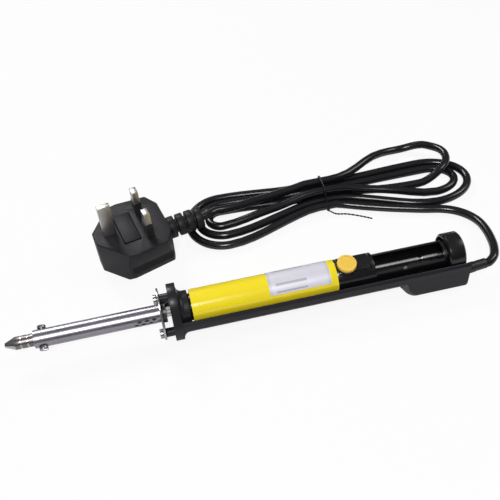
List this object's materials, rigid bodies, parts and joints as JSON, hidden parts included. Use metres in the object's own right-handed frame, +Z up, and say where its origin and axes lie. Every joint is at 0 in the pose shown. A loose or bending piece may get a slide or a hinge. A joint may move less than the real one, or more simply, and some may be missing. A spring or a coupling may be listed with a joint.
{
  "type": "desoldering iron",
  "caption": "Mains desoldering iron with a spring pump on its back, a hollow heated tip, a slotted plunger and a tied cord with a moulded three-pin plug.",
  "frame": {"origin": "on the bench, under the middle of the iron's own bounding box, its cord and plug left out", "axes": "+X along the iron from its hot tip to its cord end, +Z up from the bench, -Y the near side of the picture"},
  "size_m": [0.312, 0.1375, 0.0467],
  "materials": {
    "tip": "plated nozzle, heat-dulled near its tube",
    "heater_tube": "bright plated steel tube",
    "clamp_screws": "bright plated screws",
    "heater_core": "fired ceramic former",
    "suction_tube": "drawn steel pipe",
    "mounting_plate": "bright stamped steel",
    "plate_screws": "bright plated screws",
    "end_bush": "dark moulded bush",
    "heater_leads": "light woven glass sleeving",
    "handle": "satin black moulding",
    "box_cover": "satin black moulding",
    "cover_screw": "plated screw",
    "terminal_block": "ivory moulded block",
    "strain_relief": "soft black sleeve",
    "pump_nose": "black moulding",
    "nose_seal": "heat-proof silicone",
    "pump_barrel": "glossy yellow tube",
    "rating_label": "blank silver film label",
    "main_spring": "spring wire",
    "piston": "black moulding",
    "piston_ring": "soft ring",
    "plunger_rod": "polished rod",
    "plunger_sleeve": "satin black tube",
    "plunger_cap": "satin black cup",
    "sleeve_pin": "small bright pin",
    "rear_body": "satin black moulding",
    "release_button": "yellow-orange button with a lighter rim",
    "button_spring": "spring wire",
    "latch_plate": "pressed steel",
    "cord_lead": "satin black cord",
    "cord_hank": "satin black cord",
    "cord_exit": "satin black cord",
    "twist_tie": "black plastic-covered wire",
    "plug_body": "black moulding",
    "plug_relief": "moulded ribs",
    "earth_pin": "nickel-plated brass",
    "line_pin": "nickel-plated brass",
    "neutral_pin": "nickel-plated brass",
    "pin_sleeves": "black moulded sleeves",
    "fuse_carrier": "black moulding",
    "fuse": "ceramic cartridge"
  },
  "bodies": {
    "handle": {"tip": "tip", "heater_tube": "heater_tube", "clamp_screws": "clamp_screws", "heater_core": "heater_core", "suction_tube": "suction_tube", "mounting_plate": "mounting_plate", "plate_screws": "plate_screws", "end_bush": "end_bush", "heater_leads": "heater_leads", "handle": "handle", "box_cover": "box_cover", "cover_screw": "cover_screw", "terminal_block": "terminal_block", "strain_relief": "strain_relief", "pump_nose": "pump_nose", "nose_seal": "nose_seal", "pump_barrel": "pump_barrel", "rating_label": "rating_label", "main_spring": "main_spring", "rear_body": "rear_body", "button_spring": "button_spring", "cord_lead": "cord_lead", "cord_hank": "cord_hank", "cord_exit": "cord_exit", "twist_tie": "twist_tie", "plug_body": "plug_body", "plug_relief": "plug_relief", "earth_pin": "earth_pin", "line_pin": "line_pin", "neutral_pin": "neutral_pin", "pin_sleeves": "pin_sleeves"},
    "plunger": {"piston": "piston", "piston_ring": "piston_ring", "plunger_rod": "plunger_rod", "plunger_sleeve": "plunger_sleeve", "plunger_cap": "plunger_cap", "sleeve_pin": "sleeve_pin"},
    "button": {"release_button": "release_button", "latch_plate": "latch_plate"},
    "fuse_carrier": {"fuse_carrier": "fuse_carrier", "fuse": "fuse"}
  },
  "joints": [
    {"name": "plunger_slide", "type": "slide", "parent": "handle", "child": "plunger", "axis": [-1, 0, 0], "range_m": [0, 0.0425], "stiffness_N_per_m": 250, "springref_m": -0.02, "deforming": ["main_spring"]},
    {"name": "button_press", "type": "slide", "parent": "handle", "child": "button", "axis": [0, 0.1736, -0.9848], "range_m": [0, 0.0012], "stiffness_N_per_m": 400, "springref_m": -0.001, "deforming": ["button_spring"]},
    {"name": "carrier_slide", "type": "slide", "parent": "handle", "child": "fuse_carrier", "axis": [0, 0, 1], "range_m": [0, 0.008]}
  ]
}
